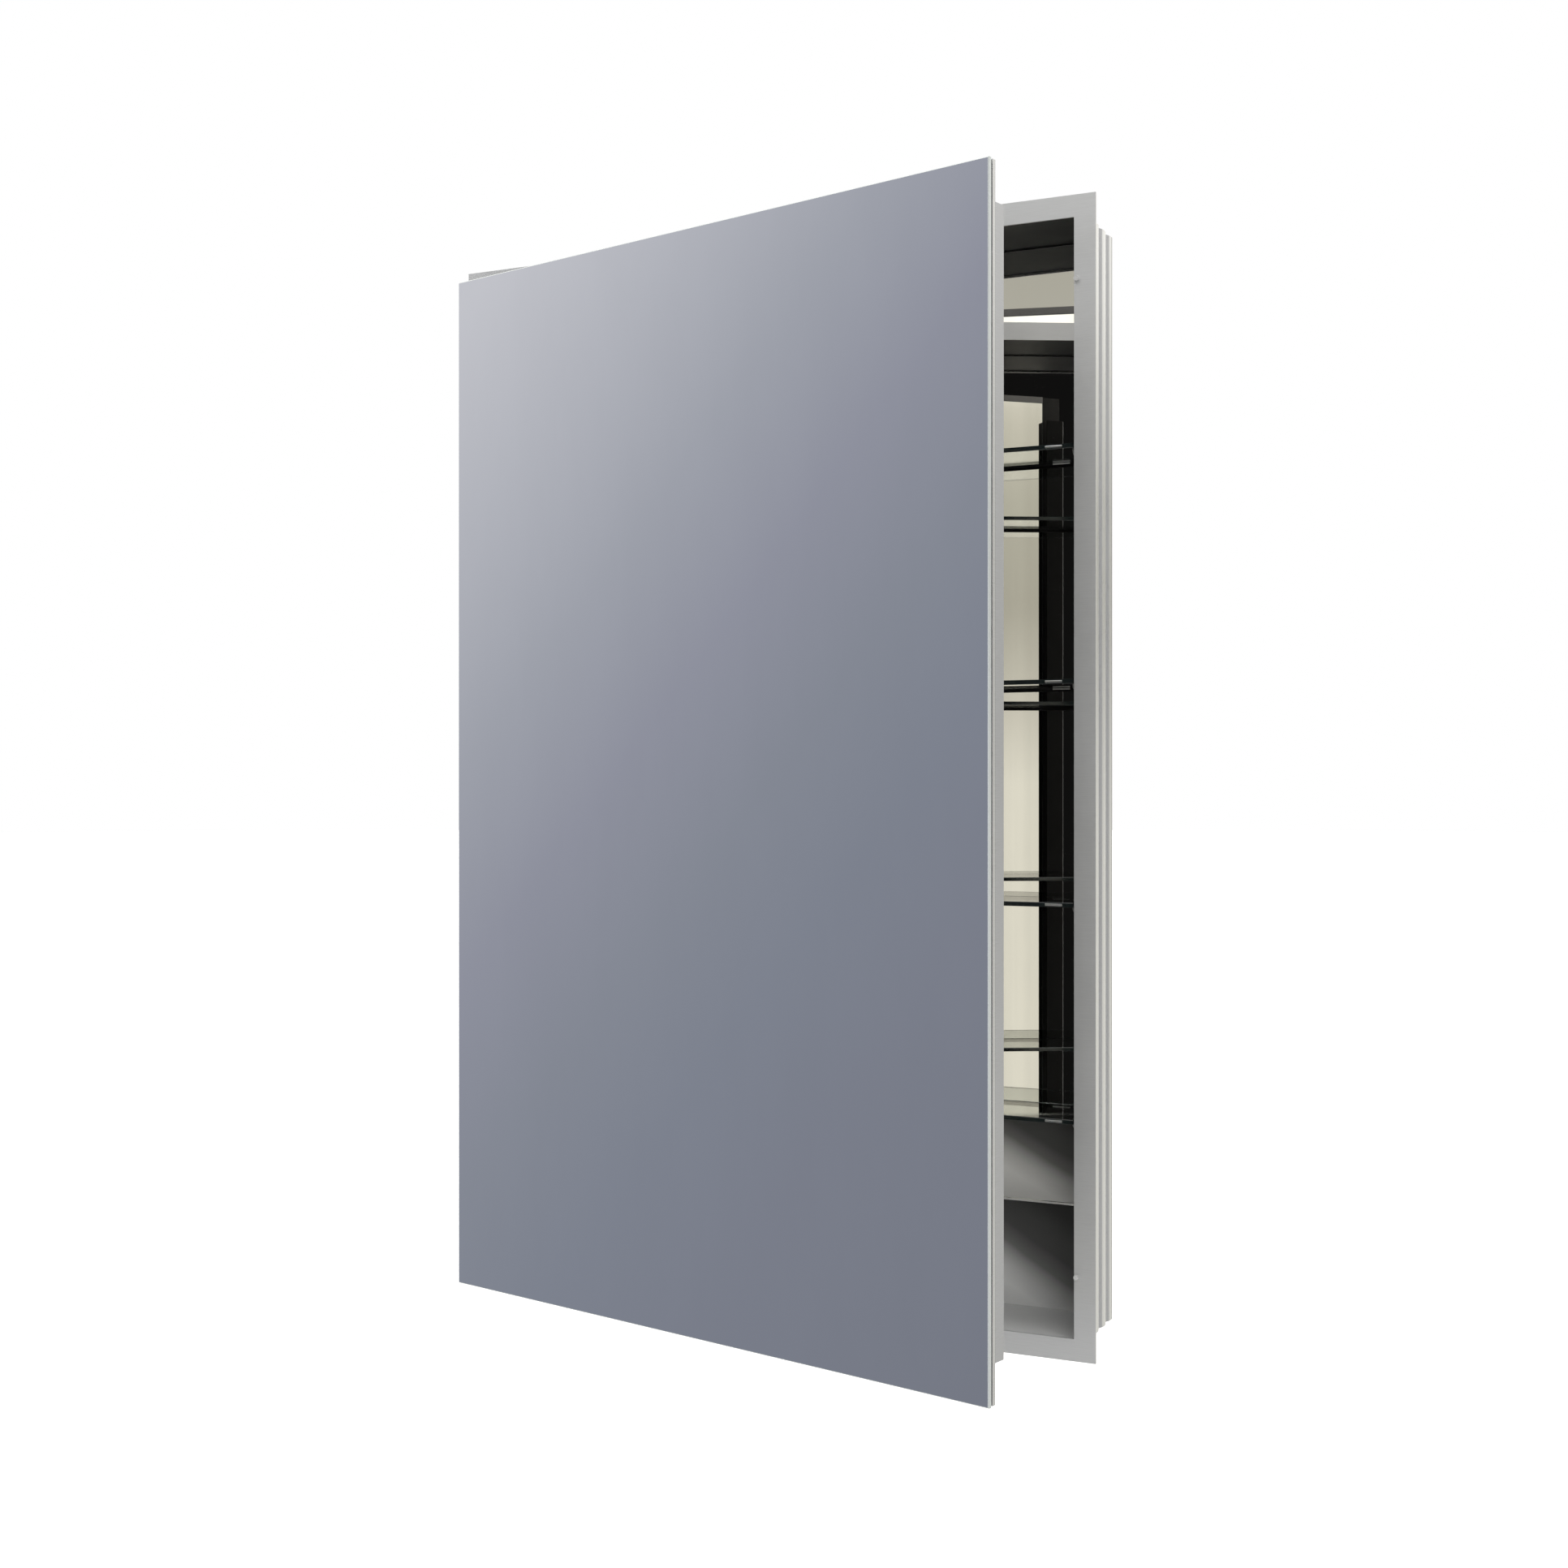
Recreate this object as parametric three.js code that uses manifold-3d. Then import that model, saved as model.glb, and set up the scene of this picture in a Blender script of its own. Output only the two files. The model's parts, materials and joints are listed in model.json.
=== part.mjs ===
// Recessed bathroom medicine cabinet with a mirrored door.
// Units are millimetres. +X is to the right as one faces the cabinet, +Y goes into the
// wall and +Z is up. The origin is the centre of the back panel's rear face.
// The door is hinged on the left and stands ajar.
import * as THREE from 'three';
import { mergeVertices } from 'three/addons/utils/BufferGeometryUtils.js';
import Module from 'manifold-3d';

const wasm = await Module();
wasm.setup();

// ---- Driving dimensions ----
const DEPTH = 95; // rear of the back panel to the front of the face frame
const FRAME_HALF_W = 317, FRAME_HALF_H = 497; // face frame, outside
const OPEN_HALF_W = 298, OPEN_HALF_H = 478; // face frame, clear opening
const FRAME_SHEET = 1.75; // thickness of the face frame
const BODY_HALF_W = 305, BODY_HALF_H = 483.5; // recessed body, outside
const INNER_HALF_W = 300, INNER_HALF_H = 480; // recessed body, inside
const LINER = 1.25, LINER_CLEAR = 1; // lining sheet on each side wall, clearance at its ends
const WALL = 1.25; // side wall between its ribs
const RIBS = 3, RIB_FIRST = -69.5, RIB_PITCH = 22.5; // upright ribs on each side wall
const BACK = 2; // back panel
const TRAY = 1.5; // top and bottom panels
const CAP_Y = -58.25, CAP_Z = [430, -430]; // fixing holes, in a groove between ribs
const CAP_HOLE_R = 2.4, CAP_STEM_R = 2, CAP_HEAD_R = 6, CAP_HEAD_T = 1.45, CAP_LEN = 4;
const DRILL_REACH = 10; // how far a drilled hole's cutter runs each way from the wall

const MIRROR_FRONT = -10, MIRROR_REAR = -6, MIRROR_BOTTOM = -382; // mirror on the back
const MIRROR_TOP = 479.5, MIRROR_HALF_W = 299;
const BACKER_HALF_W = 285, BACKER_BOTTOM = -370, BACKER_TOP = 470;
const LEDGE_HALF_W = 292, LEDGE_LIP = 0.75, LEDGE_SHEET = 1, LEDGE_GAP = 0.25;

const SHELF_Z = [285, 83, -109, -295]; // mid-heights, top shelf first
const SHELF_T = 4, SHELF_HALF_W = 294.5, SHELF_FRONT = -87, SHELF_REAR = -11;
const SHELF_ARRIS = 0.5; // ground edges of the glass
const CLEAT_W = 9, CLEAT_H = 13, CLEAT_NOSE = 3, CLEAT_TOE = 2;
const CLEAT_FRONT = -76, CLEAT_REAR = -26;

const DOOR_HALF_W = 305, DOOR_HALF_H = 485; // mirror glass
const DOOR_MID = -3.9; // the door hangs a little below the middle of the opening
const DOOR_FRONT = -125, GLASS_T = 4.6; // depth of the closed door's front, glass thickness
const DOOR_BEVEL = 0.8;
const GAP = 0.3; // running gap between stacked layers of the door
const BOND_HALF_W = 303, BOND_HALF_H = 483, BOND_T = 1.2;
const PLATE_HALF_W = 304.5, PLATE_HALF_H = 484.5, PLATE_T = 3.8;
const STILE_REAR = -99.5, STILE_HALF_H = 453; // upright bars on the plate's rear
const STILE_LEFT = [-290, -270], STILE_RIGHT = [279.5, 302.5];
const SEAL_T = 1.2, SEAL_INSET = 1.5; // dark strip on the free stile's rear
const PAD_T = 1.2, INNER_MIRROR_T = 3, INNER_HALF_MIRROR_H = 477;
const RAIL_H = 7, RAIL_T = 5; // trims along the inner mirror's top and bottom
const DOOR_AJAR = 14; // degrees open
const BUMPER_X = 300.3, BUMPER_Z = 425, BUMPER_R = 2.1, BUMPER_T = 2.75;

const PIVOT = new THREE.Vector2(-299, -103.5); // hinge axis in plan
const HINGE_Z = { upper: 350, middle: 0, lower: -350 };
const KNUCKLE_R = 4.75, BORE_R = 2.1, PIN_R = 2, PIN_HEAD_R = 3.6, PIN_HEAD_T = 2;
const KNUCKLE_LEN = 22, KNUCKLE_GAP = 0.4, BORE_HALF = 50, PIN_OVERHANG = 1;
const LEAF_T = 1.5, LEAF_X = -297.75, LEAF_FRONT = -95, LEAF_REAR = -60; // cabinet leaf
const LEAF_LAP = 1; // overlap of a knuckle's strap with its leaf
const SPACER_FACE = -299.75, SPACER_FRONT = -92; // thicker part that bears on the side wall
const DOOR_LEAF = [-294.5, -272], STRAP_RIGHT = -293.5; // leaf on the door's left stile

// ---- Materials ----
function metal(color, roughness, metalness = 1) {
  return new THREE.MeshStandardMaterial({ color, roughness, metalness });
}
const satin = metal(0xb4b5b2, 0.38);
const ribbed = metal(0xc4c5c3, 0.3);
const darkSheet = metal(0x3b3a39, 0.55, 0.4);
const greySheet = metal(0x8d8c89, 0.5, 0.6);
const silvered = metal(0xd5d9de, 0.03);
const frontGlass = metal(0xc9ced6, 0.02);
const shelfGlass = new THREE.MeshStandardMaterial({
  color: 0xcfe0dc, roughness: 0.05, metalness: 0, transparent: true, opacity: 0.45,
});
const polished = metal(0xd0d2d4, 0.15);
const whitePlate = metal(0xc9cbca, 0.4, 0.3);
const darkBond = metal(0x33343a, 0.8, 0);
const board = metal(0x8a8376, 0.8, 0);
const clearRubber = metal(0xc8c9c6, 0.5, 0);
const capPlastic = metal(0x4a4a49, 0.5, 0);

// ---- Geometry helpers ----
function slab(x0, x1, y0, y1, z0, z1) {
  return new THREE.BoxGeometry(x1 - x0, y1 - y0, z1 - z0)
    .translate((x0 + x1) / 2, (y0 + y1) / 2, (z0 + z1) / 2);
}

function outline(points) {
  return new THREE.Shape(points.map(([a, b]) => new THREE.Vector2(a, b)));
}

// A plan outline (x, y) raised from z0 to z1.
function raised(points, z0, z1) {
  return new THREE.ExtrudeGeometry(outline(points), { depth: z1 - z0, bevelEnabled: false })
    .translate(0, 0, z0);
}

// A section (y, z) run along X from x0 to x1.
function runX(points, x0, x1) {
  const turn = new THREE.Matrix4().makeBasis(
    new THREE.Vector3(0, 1, 0), new THREE.Vector3(0, 0, 1), new THREE.Vector3(1, 0, 0));
  return new THREE.ExtrudeGeometry(outline(points), { depth: x1 - x0, bevelEnabled: false })
    .applyMatrix4(turn).translate(x0, 0, 0);
}

// A front view outline (x, z) run through the depth from y0 to y1.
function runY(points, y0, y1) {
  const turn = new THREE.Matrix4().makeBasis(
    new THREE.Vector3(1, 0, 0), new THREE.Vector3(0, 0, 1), new THREE.Vector3(0, -1, 0));
  return new THREE.ExtrudeGeometry(outline(points), { depth: y1 - y0, bevelEnabled: false })
    .applyMatrix4(turn).translate(0, y1, 0);
}

// A round bar along Z, X or Y between two stations.
function barZ(r, cx, cy, z0, z1, sides = 28) {
  return new THREE.CylinderGeometry(r, r, z1 - z0, sides)
    .rotateX(Math.PI / 2).translate(cx, cy, (z0 + z1) / 2);
}
function barX(r, x0, x1, cy, cz, sides = 24) {
  return new THREE.CylinderGeometry(r, r, x1 - x0, sides)
    .rotateZ(Math.PI / 2).translate((x0 + x1) / 2, cy, cz);
}
function barY(r, y0, y1, cx, cz, sides = 20) {
  return new THREE.CylinderGeometry(r, r, y1 - y0, sides)
    .translate(cx, (y0 + y1) / 2, cz);
}

function solid(geometry) {
  const g = geometry.clone();
  g.deleteAttribute('normal');
  g.deleteAttribute('uv');
  const m = mergeVertices(g, 1e-4);
  return new wasm.Manifold(new wasm.Mesh({
    numProp: 3,
    vertProperties: new Float32Array(m.attributes.position.array),
    triVerts: new Uint32Array(m.index.array),
  }));
}

function geometryOf(manifold) {
  const mesh = manifold.getMesh();
  const g = new THREE.BufferGeometry();
  g.setAttribute('position', new THREE.BufferAttribute(mesh.vertProperties, 3));
  g.setIndex(new THREE.BufferAttribute(mesh.triVerts, 1));
  g.computeVertexNormals();
  return g;
}

// Joins the first list and cuts the second from it.
function carve(joined, cut = []) {
  let body = joined.map(solid).reduce((a, b) => a.add(b));
  for (const c of cut) body = body.subtract(solid(c));
  return geometryOf(body);
}

const cabinet = new THREE.Group();

function add(group, name, geometry, material) {
  const mesh = new THREE.Mesh(geometry, material);
  mesh.name = name;
  group.add(mesh);
}

// ---- Face frame: four flat mitred strips round the opening ----
const w = OPEN_HALF_W, h = OPEN_HALF_H, W = FRAME_HALF_W, H = FRAME_HALF_H;
const FRAME_STRIPS = {
  top: [[-w, h], [w, h], [W, H], [-W, H]],
  bottom: [[-W, -H], [W, -H], [w, -h], [-w, -h]],
  left: [[-W, -H], [-w, -h], [-w, h], [-W, H]],
  right: [[w, -h], [W, -H], [W, H], [w, h]],
};
for (const [side, strip] of Object.entries(FRAME_STRIPS)) {
  add(cabinet, `frame_${side}`, runY(strip, -DEPTH, -DEPTH + FRAME_SHEET), satin);
}

// ---- Body: ribbed side walls with inner liners, top and bottom trays, back panel ----
const bodyFront = -DEPTH + FRAME_SHEET;
const SIDES = { left: -1, right: 1 };

// An outline given for the right-hand side, mirrored for the left.
function handed(points, sign) {
  const placed = points.map(([x, y]) => [sign * x, y]);
  return sign < 0 ? placed.reverse() : placed;
}

// Half a rib's section: distance from its middle, and height as a share of the rib's.
const RIB_SECTION = [[10.5, 0], [8.5, 0.32], [6, 0.72], [3.5, 0.93], [1.2, 1]];

// After its full ribs the wall rises once more, to meet the back panel's edge.
function ribbedWall(sign) {
  const inner = INNER_HALF_W + LINER, outer = inner + WALL, rise = BODY_HALF_W - outer;
  const points = [[inner, -BACK], [inner, bodyFront], [outer, bodyFront]];
  for (let i = 0; i <= RIBS; i++) {
    const c = RIB_FIRST + i * RIB_PITCH;
    points.push(...RIB_SECTION.map(([reach, share]) => [outer + share * rise, c - reach]));
    if (i === RIBS) {
      points.push([BODY_HALF_W, -BACK]);
    } else {
      const down = RIB_SECTION.map(([reach, share]) => [outer + share * rise, c + reach]);
      points.push(...down.reverse());
    }
  }
  return raised(handed(points, sign), -BODY_HALF_H, BODY_HALF_H);
}

function liner(sign) {
  const outer = INNER_HALF_W + LINER;
  const points = [[INNER_HALF_W, bodyFront], [outer, bodyFront], [outer, -BACK],
    [INNER_HALF_W, -BACK]];
  const reach = INNER_HALF_H - LINER_CLEAR;
  return raised(handed(points, sign), -reach, reach);
}

for (const [side, sign] of Object.entries(SIDES)) {
  const middle = sign * INNER_HALF_W;
  const [from, to] = [middle - DRILL_REACH, middle + DRILL_REACH];
  const holes = CAP_Z.map((z) => barX(CAP_HOLE_R, from, to, CAP_Y, z));
  add(cabinet, `side_${side}`, carve([ribbedWall(sign)], holes), ribbed);
  add(cabinet, `liner_${side}`, carve([liner(sign)], holes), darkSheet);
}

function tray() {
  const z = INNER_HALF_H, top = BODY_HALF_H, f = bodyFront, r = -BACK;
  return runX([[f, z], [r, z], [r, top], [r - TRAY, top], [r - TRAY, z + TRAY],
    [f + TRAY, z + TRAY], [f + TRAY, top], [f, top]], -INNER_HALF_W, INNER_HALF_W);
}
add(cabinet, 'panel_top', tray(), darkSheet);
add(cabinet, 'panel_bottom', tray().rotateX(Math.PI).translate(0, bodyFront - BACK, 0), greySheet);
add(cabinet, 'back_panel',
  slab(-BODY_HALF_W, BODY_HALF_W, -BACK, 0, -BODY_HALF_H, BODY_HALF_H), greySheet);

// Plastic caps over the fixing holes through the side walls.
for (const [side, sign] of Object.entries(SIDES)) {
  for (const [level, z] of [['upper', CAP_Z[0]], ['lower', CAP_Z[1]]]) {
    const face = INNER_HALF_W - GAP;
    const [near, rim, far] = [face - CAP_HEAD_T, face, face - CAP_HEAD_T + CAP_LEN];
    const head = barX(CAP_HEAD_R, near, rim, CAP_Y, z);
    const stem = barX(CAP_STEM_R, near, far, CAP_Y, z, 16);
    if (sign < 0) [head, stem].forEach((g) => g.rotateZ(Math.PI).translate(0, 2 * CAP_Y, 0));
    add(cabinet, `hole_cap_${level}_${side}`, carve([head, stem]), capPlastic);
  }
}

// ---- Mirror on the back, its backing board and the ledge that carries it ----
add(cabinet, 'mirror_backer', slab(-BACKER_HALF_W, BACKER_HALF_W,
  MIRROR_REAR, -BACK, BACKER_BOTTOM, BACKER_TOP), board);
add(cabinet, 'back_mirror', slab(-MIRROR_HALF_W, MIRROR_HALF_W,
  MIRROR_FRONT, MIRROR_REAR, MIRROR_BOTTOM, MIRROR_TOP), silvered);
{
  const inside = MIRROR_FRONT - LEDGE_GAP, outside = inside - LEDGE_SHEET;
  const top = MIRROR_BOTTOM, low = top - LEDGE_SHEET;
  add(cabinet, 'mirror_ledge', runX([
    [outside, low], [outside, top + LEDGE_LIP], [inside, top + LEDGE_LIP], [inside, top],
    [-BACK, top], [-BACK, low],
  ].reverse(), -LEDGE_HALF_W, LEDGE_HALF_W), polished);
}

// ---- Glass shelves on wedge cleats ----
SHELF_Z.forEach((z, i) => {
  const low = z - SHELF_T / 2;
  const edge = SHELF_ARRIS;
  const section = [
    [SHELF_FRONT, low + edge], [SHELF_FRONT + edge, low], [SHELF_REAR - edge, low],
    [SHELF_REAR, low + edge], [SHELF_REAR, low + SHELF_T - edge],
    [SHELF_REAR - edge, low + SHELF_T], [SHELF_FRONT + edge, low + SHELF_T],
    [SHELF_FRONT, low + SHELF_T - edge],
  ];
  add(cabinet, `shelf_${i + 1}`, runX(section, -SHELF_HALF_W, SHELF_HALF_W), shelfGlass);
  for (const [side, sign] of Object.entries(SIDES)) {
    const wall = sign * INNER_HALF_W, nose = sign * (INNER_HALF_W - CLEAT_W);
    const wedge = [[wall, low], [wall, low - CLEAT_H], [wall - sign * CLEAT_TOE, low - CLEAT_H],
      [nose, low - CLEAT_NOSE], [nose, low]];
    if (sign > 0) wedge.reverse();
    add(cabinet, `cleat_${i + 1}_${side}`, runY(wedge, CLEAT_FRONT, CLEAT_REAR), polished);
  }
});

// ---- Door, drawn closed about the hinge axis, then turned ajar ----
const door = new THREE.Group();
door.position.set(PIVOT.x, PIVOT.y, 0);
door.rotation.z = -THREE.MathUtils.degToRad(DOOR_AJAR);
cabinet.add(door);

function addDoor(name, geometry, material) {
  add(door, name, geometry.translate(-PIVOT.x, -PIVOT.y, 0), material);
}

{
  const gw = DOOR_HALF_W - DOOR_BEVEL, gh = DOOR_HALF_H - DOOR_BEVEL;
  const face = outline([[-gw, -gh], [gw, -gh], [gw, gh], [-gw, gh]]);
  addDoor('door_mirror', new THREE.ExtrudeGeometry(face, {
    depth: GLASS_T - 2 * DOOR_BEVEL,
    bevelThickness: DOOR_BEVEL,
    bevelSize: DOOR_BEVEL,
    bevelSegments: 1,
  }).rotateX(Math.PI / 2).translate(0, DOOR_FRONT + GLASS_T - DOOR_BEVEL, DOOR_MID), frontGlass);
}

// A slab on the door, between two widths, two depths and two heights from the door's middle.
function addSlab(name, [x0, x1], y0, y1, [z0, z1], material) {
  addDoor(name, slab(x0, x1, y0, y1, DOOR_MID + z0, DOOR_MID + z1), material);
}
const both = (half) => [-half, half];

const bondFront = DOOR_FRONT + GLASS_T + GAP;
addSlab('door_bond', both(BOND_HALF_W), bondFront, bondFront + BOND_T, both(BOND_HALF_H), darkBond);
const plateFront = bondFront + BOND_T + GAP;
addSlab('door_plate', both(PLATE_HALF_W), plateFront, plateFront + PLATE_T, both(PLATE_HALF_H),
  whitePlate);

const rearFront = plateFront + PLATE_T + GAP; // fittings start here, on the plate's rear
addSlab('stile_left', STILE_LEFT, rearFront, STILE_REAR, both(STILE_HALF_H), satin);
addSlab('stile_right', STILE_RIGHT, rearFront, STILE_REAR, both(STILE_HALF_H), satin);
const between = [STILE_LEFT[1] + GAP, STILE_RIGHT[0] - GAP];
const padRear = rearFront + PAD_T, mirrorRear = padRear + GAP + INNER_MIRROR_T;
addSlab('door_core', between, rearFront, padRear, both(INNER_HALF_MIRROR_H), board);
addSlab('inner_mirror', between, padRear + GAP, mirrorRear, both(INNER_HALF_MIRROR_H), silvered);
const railIn = INNER_HALF_MIRROR_H + GAP, railOut = railIn + RAIL_H;
addSlab('rail_top', between, rearFront, rearFront + RAIL_T, [railIn, railOut], darkSheet);
addSlab('rail_bottom', between, rearFront, rearFront + RAIL_T, [-railOut, -railIn], darkSheet);
addSlab('door_seal', [STILE_RIGHT[0], STILE_RIGHT[1] - SEAL_INSET], STILE_REAR + GAP,
  STILE_REAR + GAP + SEAL_T, both(STILE_HALF_H), darkBond);

// Soft bumpers on the face frame, where the seal of the free stile comes to rest.
for (const [level, z] of [['upper', BUMPER_Z], ['lower', -BUMPER_Z]]) {
  add(cabinet, `bumper_${level}`, barY(BUMPER_R, -DEPTH - BUMPER_T, -DEPTH, BUMPER_X, z), clearRubber);
}

// ---- Three butt hinges: cabinet leaf inside the opening, door leaf on the left stile ----
for (const [level, zc] of Object.entries(HINGE_Z)) {
  const inner = KNUCKLE_LEN / 2, out0 = inner + KNUCKLE_GAP, out1 = out0 + KNUCKLE_LEN;
  const bore = barZ(BORE_R, PIVOT.x, PIVOT.y, zc - BORE_HALF, zc + BORE_HALF);
  const leafX1 = LEAF_X + LEAF_T;
  const parts = [
    slab(LEAF_X, leafX1, LEAF_FRONT, LEAF_REAR, zc - out1, zc + out1),
    slab(SPACER_FACE, leafX1, SPACER_FRONT, LEAF_REAR, zc - out1, zc + out1),
  ];
  for (const [a, b] of [[zc - out1, zc - out0], [zc + out0, zc + out1]]) {
    parts.push(barZ(KNUCKLE_R, PIVOT.x, PIVOT.y, a, b));
    parts.push(slab(LEAF_X, leafX1, PIVOT.y, LEAF_FRONT + LEAF_LAP, a, b));
  }
  add(cabinet, `hinge_${level}_leaf`, carve(parts, [bore]), polished);

  const leafY0 = STILE_REAR + GAP, leafY1 = leafY0 + LEAF_T;
  const doorLeaf = carve([
    slab(...DOOR_LEAF, leafY0, leafY1, zc - out1, zc + out1),
    slab(PIVOT.x, STRAP_RIGHT, PIVOT.y, leafY1, zc - inner, zc + inner),
    barZ(KNUCKLE_R, PIVOT.x, PIVOT.y, zc - inner, zc + inner),
  ], [bore]);
  addDoor(`hinge_${level}_door_leaf`, doorLeaf, polished);

  const shank = out1 + PIN_OVERHANG, head0 = out1 + GAP, head1 = head0 + PIN_HEAD_T;
  const pin = carve([
    barZ(PIN_R, PIVOT.x, PIVOT.y, zc - shank, zc + shank),
    barZ(PIN_HEAD_R, PIVOT.x, PIVOT.y, zc + head0, zc + head1),
    barZ(PIN_HEAD_R, PIVOT.x, PIVOT.y, zc - head1, zc - head0),
  ]);
  add(cabinet, `hinge_${level}_pin`, pin, polished);
}

export default cabinet;
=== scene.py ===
import json
import math

import bmesh
import bpy
from mathutils import Matrix, Vector


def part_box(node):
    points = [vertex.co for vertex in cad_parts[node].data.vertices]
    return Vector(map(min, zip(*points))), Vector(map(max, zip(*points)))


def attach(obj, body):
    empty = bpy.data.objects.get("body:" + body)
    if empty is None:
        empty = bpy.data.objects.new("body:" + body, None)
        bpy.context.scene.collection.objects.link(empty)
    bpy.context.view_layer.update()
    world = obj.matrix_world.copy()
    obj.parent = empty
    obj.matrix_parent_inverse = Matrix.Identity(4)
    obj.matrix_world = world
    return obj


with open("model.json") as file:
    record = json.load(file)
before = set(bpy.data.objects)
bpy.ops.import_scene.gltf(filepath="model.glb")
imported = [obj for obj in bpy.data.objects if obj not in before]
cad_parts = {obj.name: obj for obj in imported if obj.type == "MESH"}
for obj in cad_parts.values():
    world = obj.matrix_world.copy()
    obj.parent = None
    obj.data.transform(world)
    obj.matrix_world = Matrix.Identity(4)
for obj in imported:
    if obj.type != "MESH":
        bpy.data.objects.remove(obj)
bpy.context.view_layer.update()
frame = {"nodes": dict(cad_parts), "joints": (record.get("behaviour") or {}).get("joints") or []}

NODES = frame["nodes"]
HINGE = next(j for j in frame["joints"] if j["name"] == "door_hinge")
DOOR_AJAR = math.radians(-HINGE["range_deg"][0])  # how far the door stands open at rest

# ---------------------------------------------------------------- camera
CAMERA_AT = (0.7762, -1.7078, -0.0051)
CAMERA_YAW = math.radians(24.96)
LENS_MM = 44.85

camera = bpy.data.objects.new("camera", bpy.data.cameras.new("camera"))
camera.data.lens = LENS_MM
camera.data.sensor_width = 36.0
camera.location = CAMERA_AT
camera.rotation_euler = (math.pi / 2, 0.0, CAMERA_YAW)
bpy.context.scene.collection.objects.link(camera)
bpy.context.scene.camera = camera


# ---------------------------------------------------------------- node helpers
class Tree:
    """A material's or the world's node tree, with one short call for each kind of node."""

    def __init__(self, owner):
        owner.use_nodes = True
        self.tree = owner.node_tree
        self.tree.nodes.clear()

    def node(self, kind, **settings):
        made = self.tree.nodes.new(kind)
        for key, value in settings.items():
            setattr(made, key, value)
        return made

    def link(self, source, target):
        self.tree.links.new(source, target)

    def feed(self, socket, value):
        """Sets a socket to a number, or links an output into it."""
        if isinstance(value, bpy.types.NodeSocket):
            self.link(value, socket)
        else:
            socket.default_value = value

    def math(self, operation, *values):
        made = self.node("ShaderNodeMath", operation=operation)
        for socket, value in zip(made.inputs, values):
            self.feed(socket, value)
        return made.outputs[0]

    def dot(self, vector, direction):
        made = self.node("ShaderNodeVectorMath", operation="DOT_PRODUCT")
        self.link(vector, made.inputs[0])
        made.inputs[1].default_value = direction
        return made.outputs["Value"]

    def smooth(self, value, low, high, out_low=0.0, out_high=1.0):
        made = self.node("ShaderNodeMapRange", interpolation_type="SMOOTHSTEP")
        self.link(value, made.inputs["Value"])
        made.inputs["From Min"].default_value = low
        made.inputs["From Max"].default_value = high
        made.inputs["To Min"].default_value = out_low
        made.inputs["To Max"].default_value = out_high
        return made.outputs["Result"]

    def ramp(self, value, stops):
        made = self.node("ShaderNodeValToRGB")
        elements = made.color_ramp.elements
        while len(elements) < len(stops):
            elements.new(0.5)
        for element, (place, colour) in zip(elements, stops):
            element.position = place
            element.color = (*colour, 1.0)
        self.link(value, made.inputs["Fac"])
        return made.outputs["Color"]

    def mix(self, factor, a, b):
        made = self.node("ShaderNodeMix", data_type="RGBA")
        self.feed(made.inputs["Factor"], factor)
        for socket, value in ((made.inputs[6], a), (made.inputs[7], b)):
            self.feed(socket, value if isinstance(value, bpy.types.NodeSocket) else (*value, 1.0))
        return made.outputs[2]

    def place(self):
        """Position on the object in metres, which stays with the object as it moves."""
        return self.node("ShaderNodeTexCoord").outputs["Object"]

    def stretched(self, vector, scale):
        made = self.node("ShaderNodeMapping")
        self.link(vector, made.inputs["Vector"])
        made.inputs["Scale"].default_value = scale
        return made.outputs["Vector"]

    def noise(self, vector, scale, detail=3.0, rough=0.5):
        made = self.node("ShaderNodeTexNoise")
        self.link(vector, made.inputs["Vector"])
        made.inputs["Scale"].default_value = scale
        made.inputs["Detail"].default_value = detail
        made.inputs["Roughness"].default_value = rough
        return made.outputs["Fac"]

    def bump(self, height, strength, distance):
        made = self.node("ShaderNodeBump")
        self.link(height, made.inputs["Height"])
        made.inputs["Strength"].default_value = strength
        made.inputs["Distance"].default_value = distance
        return made.outputs["Normal"]

    def surface(self, **inputs):
        shader = self.node("ShaderNodeBsdfPrincipled")
        for key, value in inputs.items():
            name = {"Base": "Base Color", "Specular": "Specular IOR Level",
                    "Transmission": "Transmission Weight"}.get(key, key)
            if name == "Base Color" and not isinstance(value, bpy.types.NodeSocket):
                value = (*value, 1.0)
            self.feed(shader.inputs[name], value)
        output = self.node("ShaderNodeOutputMaterial")
        self.link(shader.outputs["BSDF"], output.inputs["Surface"])

    def varied(self, factor, colour, contrast):
        """A colour that swings a little darker and a little lighter with a noise."""
        share = self.smooth(factor, 0.35, 0.65)
        return self.mix(share, scaled(colour, 1 - contrast), scaled(colour, 1 + contrast))

    def gloss(self, factor, rough, swing):
        """A roughness that swings to both sides of its mean with a noise."""
        return self.smooth(factor, 0.3, 0.7, rough * (1 - swing), rough * (1 + swing))

    def grain_lines(self, grain):
        """Fine parallel lines, along the axis whose grain scale is lowest."""
        stretch = tuple(g * GRAIN_SCALE for g in grain)
        return self.noise(self.stretched(self.place(), stretch), 5.0, 4.0, 0.6)


def material(name):
    made = bpy.data.materials.new(name)
    return made, Tree(made)


def scaled(colour, factor):
    return tuple(min(1.0, c * factor) for c in colour)


# ---------------------------------------------------------------- materials
GRAIN_SCALE = 12
GRAIN_LEVEL, GRAIN_UPRIGHT = (1.0, 1.0, 60.0), (60.0, 60.0, 1.0)  # level or upright lines


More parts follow.
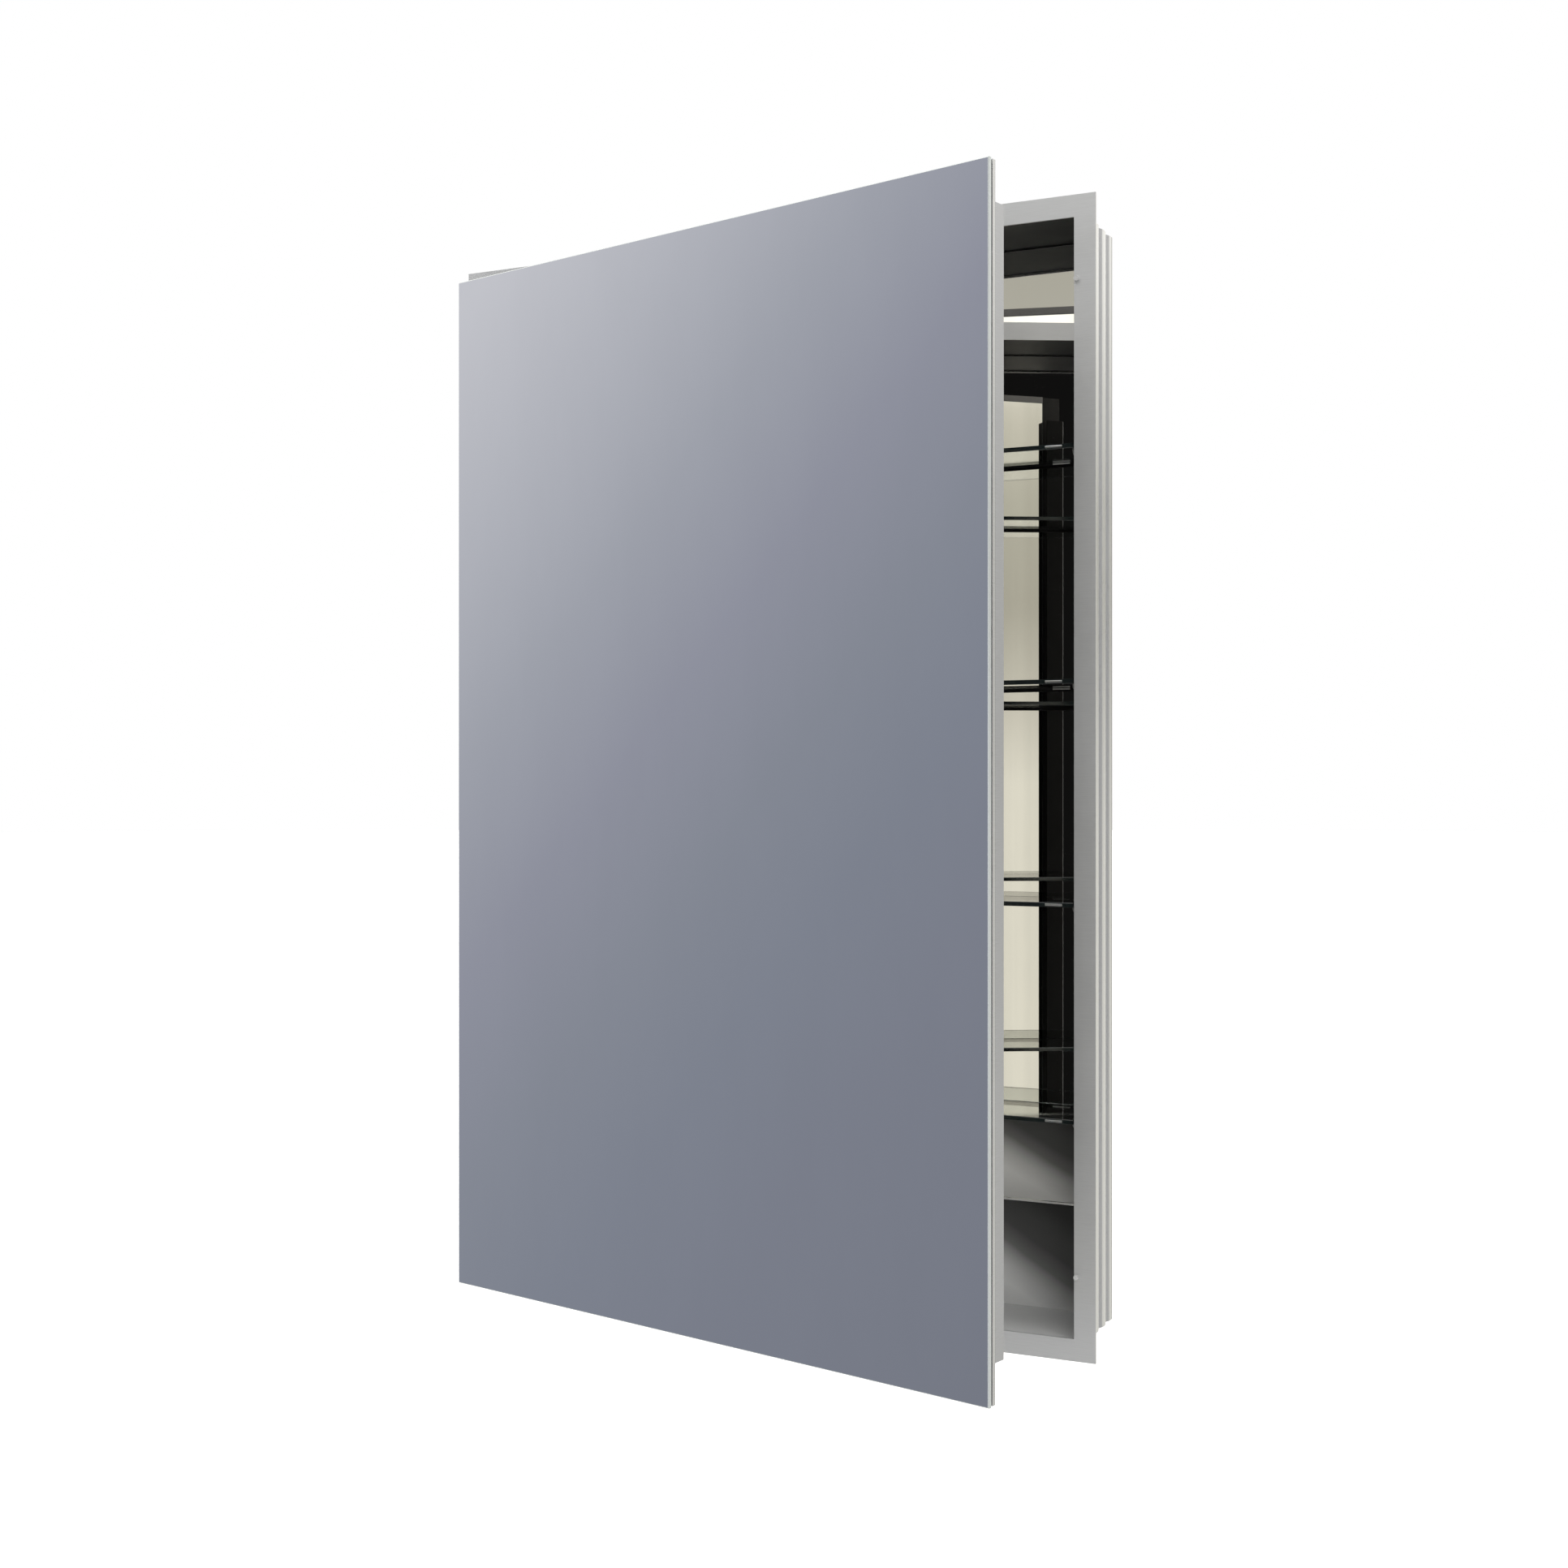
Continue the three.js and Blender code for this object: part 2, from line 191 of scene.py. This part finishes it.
def brushed(name, colour, rough, grain=GRAIN_LEVEL, contrast=0.12, metallic=1.0):
    """Metal with fine grain lines and soft clouds."""
    made, t = material(name)
    lines = t.grain_lines(grain)
    clouds = t.noise(t.place(), 9.0, 3.0)
    tone = t.math("ADD", t.math("MULTIPLY", lines, 0.7), t.math("MULTIPLY", clouds, 0.3))
    t.surface(Base=t.varied(tone, colour, contrast), Metallic=metallic,
              Roughness=t.gloss(tone, rough, 0.18), Normal=t.bump(lines, 0.12, 0.0004))
    return made


def speckled(name, colour, rough, metallic=0.0, grain=900.0, contrast=0.1, height=0.00005,
             specular=0.5):
    """Powder coat, moulded plastic, board or rubber: an even fine grain with soft clouds."""
    made, t = material(name)
    fine = t.noise(t.place(), grain, 2.0)
    clouds = t.noise(t.place(), 14.0, 3.0)
    tone = t.math("ADD", t.math("MULTIPLY", fine, 0.5), t.math("MULTIPLY", clouds, 0.5))
    t.surface(Base=t.varied(tone, colour, contrast), Metallic=metallic, Specular=specular,
              Roughness=t.gloss(clouds, rough, 0.15), Normal=t.bump(fine, 0.35, height))
    return made


# The door stands ajar in the CAD, so its own directions are turned about the upright.
DOOR_ACROSS = (math.cos(DOOR_AJAR), -math.sin(DOOR_AJAR), 0.0)
DOOR_THROUGH = (math.sin(DOOR_AJAR), math.cos(DOOR_AJAR), 0.0)
ACROSS, THROUGH, UP = (1.0, 0.0, 0.0), (0.0, 1.0, 0.0), (0.0, 0.0, 1.0)


def span(node, axis):
    """Lowest and highest reach of a CAD node along a direction."""
    reach = [Vector(axis).dot(v.co) for v in NODES[node].data.vertices]
    return min(reach), max(reach)


def inset(t, node, *axes):
    """How far inside the node's outline a point is, along the nearest of the directions."""
    nearest = None
    for axis in axes:
        low, high = span(node, axis)
        off = t.math("ABSOLUTE", t.math("SUBTRACT", t.dot(t.place(), axis), (high + low) / 2))
        depth = t.math("SUBTRACT", (high - low) / 2, off)
        nearest = depth if nearest is None else t.math("MINIMUM", nearest, depth)
    return nearest


def mirror(node, across, tint, edge_tint, edge_width):
    """Silvered glass with a ground edge, coloured by edge_tint, and faint wipe marks in its gloss.
    """
    made, t = material(node)
    rim = t.smooth(inset(t, node, across, UP), edge_width * 0.8, edge_width * 1.1, 1.0, 0.0)
    wipe = t.noise(t.stretched(t.place(), (3.0, 3.0, 1.0)), 6.0, 4.0, 0.65)
    face = t.mix(t.smooth(wipe, 0.3, 0.7), scaled(tint, 0.985), tint)
    gloss = t.math("MULTIPLY_ADD", rim, 0.25, t.smooth(wipe, 0.45, 0.8, 0.0, 0.02))
    t.surface(Base=t.mix(rim, face, edge_tint), Roughness=gloss,
              Metallic=t.math("MULTIPLY_ADD", rim, -0.5, 1.0))
    return made


# Near-black painted shade for the faces of the door's plate and stile that lie away from their lit
# edge.
PAINTED_SHADE_BLACK = (0.01, 0.01, 0.01)
FAR_INSIDE = 0.001  # farther in than any lit edge reaches


def edge_lit(name, reach_of, colour, rough, width=0.00025):
    """Brushed metal near one edge of a node; the rest of it is near-black painted shade."""
    made, t = material(name)
    dark = t.smooth(reach_of(t), width * 0.4, width)
    lines = t.grain_lines(GRAIN_LEVEL)
    t.surface(Base=t.mix(dark, t.varied(lines, colour, 0.06), PAINTED_SHADE_BLACK), Specular=0.15,
              Metallic=t.math("SUBTRACT", 1.0, dark), Roughness=t.gloss(lines, rough, 0.15),
              Normal=t.bump(lines, 0.1, 0.0003))
    return made


def from_end(t, node, axis):
    """Distance back from the far end of a node along a direction."""
    return t.math("SUBTRACT", span(node, axis)[1], t.dot(t.place(), axis))


def front_rim(t, node):
    """Like inset for a sheet of the door, but with its whole rear face far inside, so that it takes
    the painted shade.
    """
    rear = span(node, DOOR_THROUGH)[1]
    depth = t.dot(t.place(), DOOR_THROUGH)
    behind = t.smooth(depth, rear - 0.0002, rear - 0.0001, 0.0, FAR_INSIDE)
    return t.math("ADD", inset(t, node, DOOR_ACROSS, UP), behind)


GLASS_IOR = 1.5
# The edge colour is painted shade: clear glass seen edge-on looks near-black.
GLASS_CLEAR, GLASS_EDGE_PAINTED_SHADE = (0.93, 0.97, 0.95), (0.01, 0.014, 0.014)


def shelf_glass(name):
    """Clear plate glass, faintly green, with ground front and back edges painted near-black as
    painted shade, for the dark look of glass seen edge-on.
    """
    made, t = material(name)
    edge = t.smooth(inset(t, "shelf_1", THROUGH), 0.0004, 0.0009, 1.0, 0.0)
    grind = t.noise(t.place(), 700.0, 2.0)
    base = t.mix(edge, GLASS_CLEAR, GLASS_EDGE_PAINTED_SHADE)
    gloss = t.math("MULTIPLY_ADD", edge, 0.12, t.smooth(grind, 0.3, 0.7, 0.0, 0.015))
    t.surface(Base=base, Roughness=gloss, IOR=GLASS_IOR,
              Transmission=t.math("MULTIPLY_ADD", edge, -0.9, 1.0))
    return made


# The lower back carries painted shade: dark under the mirror's edge and near the side walls, with
# painted bounce light lighter towards the floor.
SHADE_NEAR_SIDES = 0.6
SHADE_MIDDLE_HALF = 0.16
SHADE_START, SHADE_DEPTH = 0.273, 0.2


def back_sheet(name, painted_shade, rear, rough):
    """Painted sheet of the back: plain on its rear, and inside the cabinet coloured with painted
    shade and painted bounce light.
    """
    made, t = material(name)
    place = t.place()
    clouds = t.noise(place, 10.0, 3.0)
    beside = t.math("SUBTRACT", t.math("ABSOLUTE", t.dot(place, ACROSS)), SHADE_MIDDLE_HALF)
    beside = t.math("MULTIPLY", t.math("MAXIMUM", beside, 0.0), -SHADE_NEAR_SIDES)
    low = t.math("MULTIPLY_ADD", clouds, 0.012, t.math("SUBTRACT", beside, t.dot(place, UP)))
    share = t.math("DIVIDE", t.math("SUBTRACT", low, SHADE_START), SHADE_DEPTH)
    behind = t.smooth(t.dot(place, THROUGH), span("back_panel", THROUGH)[0] + 0.0002, -0.0004)
    t.surface(Base=t.mix(behind, t.ramp(share, painted_shade), t.varied(clouds, rear, 0.03)),
              Metallic=t.math("MULTIPLY_ADD", behind, 0.6, 0.1),
              Roughness=t.gloss(clouds, rough, 0.15),
              Normal=t.bump(t.noise(place, 900.0, 2.0), 0.3, 0.00004))
    return made


# Painted shade and painted bounce light for the lower back: stops run from dark under the mirror to
# light near the floor.
BACK_PAINTED_SHADE = [
    (0.34, (0.02, 0.02, 0.02)), (0.44, (0.045, 0.045, 0.045)), (0.54, (0.06, 0.06, 0.06)),
    (0.63, (0.15, 0.15, 0.15)), (0.73, (0.55, 0.55, 0.55)), (0.82, (0.82, 0.82, 0.82))]
SATIN = brushed("satin_aluminium", (0.68, 0.684, 0.688), 0.42, contrast=0.04, metallic=0.75)
RIBBED = brushed("ribbed_aluminium", (0.74, 0.75, 0.785), 0.3, grain=GRAIN_UPRIGHT, contrast=0.03)
# The cabinet's top and side linings are near-black as painted shade inside the cabinet.
LINING_PAINTED_SHADE = speckled("dark_lining", (0.035, 0.035, 0.035), 0.5, metallic=0.2, height=0.00003,
                contrast=0.25)
FLOOR = speckled("cabinet_floor", (0.6, 0.6, 0.595), 0.5, contrast=0.05, height=0.00003)
BACK = back_sheet("cabinet_back_painted_shade", BACK_PAINTED_SHADE, (0.5, 0.5, 0.505), 0.55)
# The door's plate and free stile: brushed metal at their lit edge, painted shade on the rest.
PLATE = edge_lit("door_plate", lambda t: front_rim(t, "door_plate"),
                 (0.78, 0.785, 0.81), 0.35, width=0.0008)
STILE = edge_lit("door_stile_painted_shade", lambda t: from_end(t, "stile_right", DOOR_ACROSS),
                 (0.65, 0.66, 0.7), 0.42)
HINGE_STILE = brushed("hinge_stile", (0.6, 0.605, 0.63), 0.42, contrast=0.06)
TRIM = speckled("door_trim", (0.11, 0.108, 0.11), 0.5, metallic=0.4, contrast=0.1, height=0.00003)
BRIGHT = brushed("bright_metal", (0.78, 0.78, 0.79), 0.18, contrast=0.06)
CLEAT = brushed("cleat_metal", (0.3, 0.3, 0.3), 0.4, grain=(60.0, 1.0, 60.0))
BOND = speckled("bond", (0.55, 0.55, 0.56), 0.8, contrast=0.1)
BOARD = speckled("backing_board", (0.32, 0.25, 0.18), 0.85, contrast=0.25, grain=500.0)
SOFT = speckled("soft_bumper", (0.42, 0.42, 0.42), 0.6, contrast=0.05, grain=400.0)
SEAL = speckled("door_seal", (0.006, 0.006, 0.006), 0.8, contrast=0.2, specular=0.08)
GASKET = speckled("shelf_gasket", (0.006, 0.006, 0.006), 0.7, contrast=0.2, specular=0.1)
CAP = speckled("hole_cap", (0.06, 0.06, 0.06), 0.45, contrast=0.12)
STEEL = brushed("screw_steel", (0.6, 0.6, 0.6), 0.25, grain=(40.0, 40.0, 40.0), contrast=0.06)
STRIP = brushed("stop_metal", (0.6, 0.6, 0.6), 0.3, grain=(1.0, 40.0, 40.0), contrast=0.06)
INSIDE_TINT = (0.95, 0.945, 0.93)
# The door mirror's pale edge colour is partly its ground glass and partly painted reflection of the
# silvering seen through the edge.
DOOR_MIRROR = mirror("door_mirror", DOOR_ACROSS, (0.98, 0.98, 0.985), (0.56, 0.59, 0.6), 0.0009)
INNER_MIRROR = mirror("inner_mirror", DOOR_ACROSS, INSIDE_TINT, (0.2, 0.22, 0.22), 0.0006)
BACK_MIRROR = mirror("back_mirror", ACROSS, INSIDE_TINT, (0.02, 0.02, 0.02), 0.0008)
SHELF = shelf_glass("shelf_glass")

NODE_MATERIALS = {
    "frame_": SATIN, "side_": RIBBED, "liner_": LINING_PAINTED_SHADE, "panel_top": LINING_PAINTED_SHADE, "panel_bottom": FLOOR,
    "back_panel": BACK, "back_mirror": BACK_MIRROR, "mirror_backer": BOARD,
    "mirror_ledge": BRIGHT, "shelf_": SHELF, "cleat_": CLEAT, "hole_cap_": CAP,
    "hinge_": BRIGHT, "door_mirror": DOOR_MIRROR, "door_bond": BOND, "door_plate": PLATE,
    "door_core": BOARD, "stile_left": HINGE_STILE, "stile_right": STILE, "rail_": TRIM,
    "door_seal": SEAL, "inner_mirror": INNER_MIRROR, "bumper_": SOFT,
}


def dress(name, node):
    made = next(m for start, m in NODE_MATERIALS.items() if name.startswith(start))
    node.data.materials.clear()
    node.data.materials.append(made)


for name, node in NODES.items():
    dress(name, node)

# A hair of a radius on the sheet-metal edges, so that they catch the light.
SHEET_METAL = ("frame_", "stile_", "rail_", "door_plate", "panel_", "mirror_ledge", "cleat_")
EDGE_RADIUS = 0.00025
SHARPEST_UNROUNDED = math.radians(50)
for name, node in NODES.items():
    if name.startswith(SHEET_METAL):
        soften = node.modifiers.new("edge", "BEVEL")
        soften.width = EDGE_RADIUS
        soften.segments = 2
        soften.limit_method = "ANGLE"
        soften.angle_limit = SHARPEST_UNROUNDED

# ---------------------------------------------------------------- small fittings
MM = 0.001


def finished(name, bm):
    """Turns a bmesh in millimetres into a mesh in metres."""
    mesh = bpy.data.meshes.new(name)
    bmesh.ops.scale(bm, vec=(MM, MM, MM), verts=bm.verts)
    bmesh.ops.recalc_face_normals(bm, faces=bm.faces)
    bm.to_mesh(mesh)
    bm.free()
    return mesh


def place_fitting(name, mesh, made, body, at, turned=None):
    """Puts a mesh somewhere in the rest pose and lets it ride on one of the bodies."""
    if not mesh.materials:
        mesh.materials.append(made)
    piece = bpy.data.objects.new(name, mesh)
    piece.matrix_world = Matrix.Translation(at) @ (turned or Matrix())
    bpy.context.scene.collection.objects.link(piece)
    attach(piece, body)


def extruded(section, length):
    """A closed (y, z) section in millimetres, run along X and centred on the origin."""
    bm = bmesh.new()
    start = [bm.verts.new((-length / 2, y, z)) for y, z in section]
    end = [bm.verts.new((length / 2, y, z)) for y, z in section]
    bm.faces.new(start)
    bm.faces.new(list(reversed(end)))
    for i in range(len(section)):
        j = (i + 1) % len(section)
        bm.faces.new((start[i], start[j], end[j], end[i]))
    return bm


# Each shelf: a dark cushion strip under its rear edge, with a small bright clip near each end,
# and a small bright stop near each end of its front edge. Sections are in millimetres.
CUSHION_SECTION = [(-2.5, 0.0), (2.0, 0.0), (2.0, -1.6), (1.2, -2.4), (-1.4, -2.8), (-2.3, -2.2)]
STOP_SECTION = [(-0.7, -0.9), (0.0, -1.0), (0.0, 1.0), (-0.7, 0.9), (-0.95, 0.45), (-0.95, -0.45)]
CLIP_SECTION = [(-3.2, -0.5), (-2.6, -0.3), (-2.2, -0.3), (-2.2, -1.7), (-2.6, -1.7), (-3.2, -1.5)]
CUSHION_LENGTH, STOP_LENGTH, CLIP_LENGTH = 588.0, 15.0, 16.0
CUSHION = finished("cushion", extruded(CUSHION_SECTION, CUSHION_LENGTH))
STOP = finished("stop", extruded(STOP_SECTION, STOP_LENGTH))
CLIP = finished("clip", extruded(CLIP_SECTION, CLIP_LENGTH))
CUSHION_INSET = 0.0025  # from the shelf's rear edge
STOP_ACROSS, CLIP_ACROSS = 0.2776, 0.263  # from the middle of the cabinet
for i in range(1, 5):
    low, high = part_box(f"shelf_{i}")
    under_rear = high.y - CUSHION_INSET
    place_fitting(f"shelf_{i}_cushion", CUSHION, GASKET, "cabinet", (0.0, under_rear, low.z))
    for side, sign in (("left", -1.0), ("right", 1.0)):
        place_fitting(f"shelf_{i}_stop_{side}", STOP, STRIP, "cabinet",
                      (sign * STOP_ACROSS, low.y, (low.z + high.z) / 2))
        place_fitting(f"shelf_{i}_clip_{side}", CLIP, STRIP, "cabinet",
                      (sign * CLIP_ACROSS, under_rear, low.z))


def turned_profile(profile, sides=24):
    """A (radius, height) profile in millimetres turned about Z, starting and ending on the axis."""
    bm = bmesh.new()
    rings = []
    for radius, height in profile:
        if radius == 0:
            rings.append([bm.verts.new((0.0, 0.0, height))])
            continue
        turns = [2 * math.pi * k / sides for k in range(sides)]
        places = [(radius * math.cos(a), radius * math.sin(a), height) for a in turns]
        rings.append([bm.verts.new(place) for place in places])
    for lower, upper in zip(rings, rings[1:]):
        for k in range(sides):
            corners = [lower[k % len(lower)], lower[(k + 1) % len(lower)],
                       upper[(k + 1) % len(upper)], upper[k % len(upper)]]
            bm.faces.new(list(dict.fromkeys(corners)))
    return bm


# Profiles and sizes in millimetres. Each head points along +Z and is seated at z = 0.
SCREW_PROFILE = [(0.0, -0.5), (2.6, -0.5), (2.75, 0.0), (2.6, 0.45), (2.0, 0.85), (1.1, 1.05),
                 (0.0, 1.1)]
RIVET_PROFILE = [(0.0, -0.3), (2.3, -0.3), (2.3, 0.05), (2.0, 0.35), (1.2, 0.55), (0.0, 0.6)]
CROSS_LONG, CROSS_WIDE, CROSS_DEEP, CROSS_MIDDLE = 2.6, 0.55, 1.2, 1.0


def screw_mesh():
    """Low pan head with a cross recess."""
    cross = bmesh.new()
    for size in ((CROSS_LONG, CROSS_WIDE, CROSS_DEEP), (CROSS_WIDE, CROSS_LONG, CROSS_DEEP)):
        arm = bmesh.ops.create_cube(cross, size=1.0)["verts"]
        bmesh.ops.scale(cross, vec=size, verts=arm)
        bmesh.ops.translate(cross, vec=(0.0, 0.0, CROSS_MIDDLE), verts=arm)
    blank = finished("screw_blank", turned_profile(SCREW_PROFILE))
    head = bpy.data.objects.new("screw_blank", blank)
    cutter = bpy.data.objects.new("screw_cross", finished("screw_cross", cross))
    for scratch in (head, cutter):
        bpy.context.scene.collection.objects.link(scratch)
    cut = head.modifiers.new("cross", "BOOLEAN")
    cut.operation = "DIFFERENCE"
    cut.solver = "EXACT"
    cut.use_self = True
    cut.object = cutter
    evaluated = head.evaluated_get(bpy.context.evaluated_depsgraph_get())
    mesh = bpy.data.meshes.new_from_object(evaluated)
    for scratch in (head, cutter):
        bpy.data.objects.remove(scratch)
    mesh.name = "screw"
    return mesh


SCREW = screw_mesh()
RIVET = finished("rivet", turned_profile(RIVET_PROFILE))


def facing(normal, spin=0.0):
    """Turns a fitting's +Z to a direction, after a spin about its own axis."""
    aim = Vector(normal).to_track_quat("Z", "Y").to_matrix().to_4x4()
    return aim @ Matrix.Rotation(spin, 4, "Z")


def spread(low, high, count):
    return [low + (high - low) * k / (count - 1) for k in range(count)]


# Six screws through each leaf: three rows of two. Their places are those of the closed door.
LEAF_FACE_X = -0.29625
DOOR_LEAF_FACE_Y = -0.0977
BAR_FACE_Y = -0.0995
LEAF_SCREW_Y = (-0.084, -0.068)
DOOR_LEAF_SCREW_X = (-0.2875, -0.277)
BAR_SCREW_X = -0.28
SCREW_ROWS = (-0.025, 0.0, 0.025)
HINGE_MIDDLES = {"upper": 0.35, "middle": 0.0, "lower": -0.35}
BAR_SCREW_HEIGHTS = (-0.435, -0.2, 0.2, 0.435)
hinge_line = Vector((HINGE["pos_m"][0], HINGE["pos_m"][1], 0.0))
ajar = (Matrix.Translation(hinge_line) @ Matrix.Rotation(-DOOR_AJAR, 4, "Z")
        @ Matrix.Translation(-hinge_line))


def door_screw(name, closed_at, spin):
    """Places a screw on the rear of the door, from where it sits when the door is closed."""
    rearwards = ajar.to_3x3() @ Vector(THROUGH)
    place_fitting(name, SCREW, STEEL, "door", ajar @ Vector(closed_at), facing(rearwards, spin))


# Every screw was driven home to an angle of its own: turns in radians, by row and by height.
SPIN_PER_ROW, SPIN_PER_METRE = 0.7, 3.0
for level, middle in HINGE_MIDDLES.items():
    for row, step in enumerate(SCREW_ROWS):
        height = middle + step
        spin = SPIN_PER_ROW * row + SPIN_PER_METRE * middle
        for column, depth in enumerate(LEAF_SCREW_Y):
            place_fitting(f"leaf_screw_{level}_{row}_{column}", SCREW, STEEL, "cabinet",
                          (LEAF_FACE_X, depth, height), facing(ACROSS, spin + column))
        for column, across in enumerate(DOOR_LEAF_SCREW_X):
            door_screw(f"door_leaf_screw_{level}_{row}_{column}",
                       (across, DOOR_LEAF_FACE_Y, height), spin - column)
for i, height in enumerate(BAR_SCREW_HEIGHTS):
    door_screw(f"bar_screw_{i}", (BAR_SCREW_X, BAR_FACE_Y, height), i)

# Rivets round the back panel: one column near each side, one row near each end.
RIVET_INSET, RIVET_ROW_INSET = 0.012, 0.08
RIVETS_PER_COLUMN, RIVETS_PER_ROW = 8, 5
back_low, back_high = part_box("back_panel")
columns = (back_low.x + RIVET_INSET, back_high.x - RIVET_INSET)
rows = (back_low.z + RIVET_INSET, back_high.z - RIVET_INSET)
row_ends = (back_low.x + RIVET_ROW_INSET, back_high.x - RIVET_ROW_INSET)
rivet_places = [(x, z) for x in columns for z in spread(*rows, RIVETS_PER_COLUMN)]
rivet_places += [(x, z) for z in rows for x in spread(*row_ends, RIVETS_PER_ROW)]
for i, (across, height) in enumerate(rivet_places):
    place_fitting(f"back_rivet_{i}", RIVET, STEEL, "cabinet",
                  (across, back_high.y, height), facing(THROUGH))

# ---------------------------------------------------------------- studio
# Colours by height, from straight down (0) to straight up (1).
FRONT_ROOM = [
    (0.0, (0.38, 0.38, 0.38)), (0.2, (0.38, 0.38, 0.38)), (0.4, (0.56, 0.56, 0.555)),
    (0.53, (0.85, 0.85, 0.845)), (0.585, (0.47, 0.46, 0.4)), (0.63, (0.42, 0.405, 0.345)),
    (0.68, (0.5, 0.5, 0.5)), (0.8, (1.1, 1.1, 1.1)), (1.0, (1.8, 1.8, 1.8))]
WARM_WALL = [
    (0.0, (0.7, 0.7, 0.68)), (0.4, (0.88, 0.86, 0.76)), (0.5, (0.9, 0.88, 0.78)),
    (0.52, (0.7, 0.68, 0.6)), (0.545, (0.5, 0.485, 0.415)), (0.57, (0.55, 0.54, 0.46)),
    (0.5925, (0.7, 0.68, 0.59)), (0.6125, (1.3, 1.27, 1.15)), (1.0, (1.5, 1.48, 1.4))]
WARM_STREAK, STREAK_SHARE = (0.2, 0.19, 0.16), 0.16
FRONT_TO_BACK = (-0.25, 0.25)  # where the front room turns into the warm wall
# A grey room to the right, from where it starts to where it is fullest.
SIDE_ROOM, SIDE_ROOM_EDGE, SIDE_ROOM_SHARE = (0.34, 0.34, 0.34), (0.66, 0.86), 0.9
# The cool wall's reflection in the door darkens downwards and to the right.
COOL_WALL_AT, COOL_WALL_EDGE = (-0.82, -0.57, 0.0), (0.89, 0.935)
COOL_FALL, COOL_START = (-0.888, 1.204, 1.1), 0.502
COOL_WALL = [
    (0.02, (0.184, 0.198, 0.239)), (0.26, (0.198, 0.213, 0.26)), (0.385, (0.21, 0.229, 0.278)),
    (0.5, (0.235, 0.253, 0.3)), (0.62, (0.277, 0.288, 0.346)), (0.74, (0.348, 0.363, 0.412)),
    (0.86, (0.448, 0.46, 0.505)), (0.98, (0.554, 0.561, 0.601))]
# The doorway's soft edges: left and right by bearing, top and bottom by height.
DOORWAY, DOORWAY_LEFT, DOORWAY_RIGHT = (0.006, 0.006, 0.006), (0.02, 0.06), (0.34, 0.42)
DOORWAY_ENDS = (0.38, 0.5)
NEARLY_ZERO = 0.001
PLAIN_WHITE = (1.0, 1.0, 1.0)


def studio_world():
    """The studio round the cabinet, as its mirrors and metal see it.

    A cool wall stands to the front left, a warm bright wall behind, a neutral room in front
    with a dark doorway a little to the right. The camera itself sees plain white.
    """
    world = bpy.data.worlds.new("studio")
    bpy.context.scene.world = world
    t = Tree(world)
    way = t.node("ShaderNodeTexCoord").outputs["Generated"]
    right = t.dot(way, ACROSS)
    back = t.dot(way, THROUGH)
    up = t.dot(way, UP)
    height = t.math("MULTIPLY_ADD", up, 0.5, 0.5)

    bands = t.node("ShaderNodeCombineXYZ")
    t.link(t.math("DIVIDE", right, t.math("MAXIMUM", back, NEARLY_ZERO)), bands.inputs["X"])
    streaks = t.smooth(t.noise(bands.outputs["Vector"], 55.0, 3.0, 0.6), 0.45, 0.7)
    warm = t.mix(t.math("MULTIPLY", streaks, STREAK_SHARE), t.ramp(height, WARM_WALL), WARM_STREAK)
    room = t.mix(t.smooth(back, *FRONT_TO_BACK), t.ramp(height, FRONT_ROOM), warm)
    room = t.mix(t.smooth(right, *SIDE_ROOM_EDGE, 0.0, SIDE_ROOM_SHARE), room, SIDE_ROOM)

    cool = t.ramp(t.math("ADD", t.dot(way, COOL_FALL), COOL_START), COOL_WALL)
    room = t.mix(t.smooth(t.dot(way, COOL_WALL_AT), *COOL_WALL_EDGE), room, cool)

    forward = t.math("MAXIMUM", t.math("MULTIPLY", back, -1.0), NEARLY_ZERO)
    bearing = t.math("DIVIDE", right, forward)
    doorway = t.math("MULTIPLY", t.smooth(bearing, *DOORWAY_LEFT),
                     t.smooth(bearing, *DOORWAY_RIGHT, 1.0, 0.0))
    doorway = t.math("MULTIPLY", doorway,
                     t.smooth(t.math("ABSOLUTE", up), *DOORWAY_ENDS, 1.0, 0.0))
    room = t.mix(doorway, room, DOORWAY)

    camera_ray = t.node("ShaderNodeLightPath").outputs["Is Camera Ray"]
    background = t.node("ShaderNodeBackground")
    t.link(t.mix(camera_ray, room, PLAIN_WHITE), background.inputs["Color"])
    output = t.node("ShaderNodeOutputWorld")
    t.link(background.outputs[0], output.inputs["Surface"])


studio_world()

SUN_STRENGTH = 1.6
SUN_SPREAD = math.radians(70)
SUN_TILT = (math.radians(28), math.radians(12), 0.0)
sun = bpy.data.objects.new("top_light", bpy.data.lights.new("top_light", "SUN"))
sun.data.energy = SUN_STRENGTH
sun.data.angle = SUN_SPREAD
sun.rotation_euler = SUN_TILT
sun.visible_glossy = False
bpy.context.scene.collection.objects.link(sun)

# A wide pale floor, which the mirrors and the glass don't pick up.
FLOOR_BELOW, FLOOR_RADIUS, FLOOR_SIDES = 1.45, 60.0, 96
floor_mesh = bpy.data.meshes.new("floor")
floor_bm = bmesh.new()
bmesh.ops.create_circle(floor_bm, cap_ends=True, radius=FLOOR_RADIUS, segments=FLOOR_SIDES)
floor_bm.to_mesh(floor_mesh)
floor_bm.free()
floor = bpy.data.objects.new("floor", floor_mesh)
floor.location.z = -FLOOR_BELOW
floor.visible_glossy = False
floor.visible_transmission = False
floor.data.materials.append(speckled("floor", (0.93, 0.93, 0.93), 0.9, contrast=0.01, grain=40.0))
bpy.context.scene.collection.objects.link(floor)

bpy.context.scene.view_settings.view_transform = "Standard"
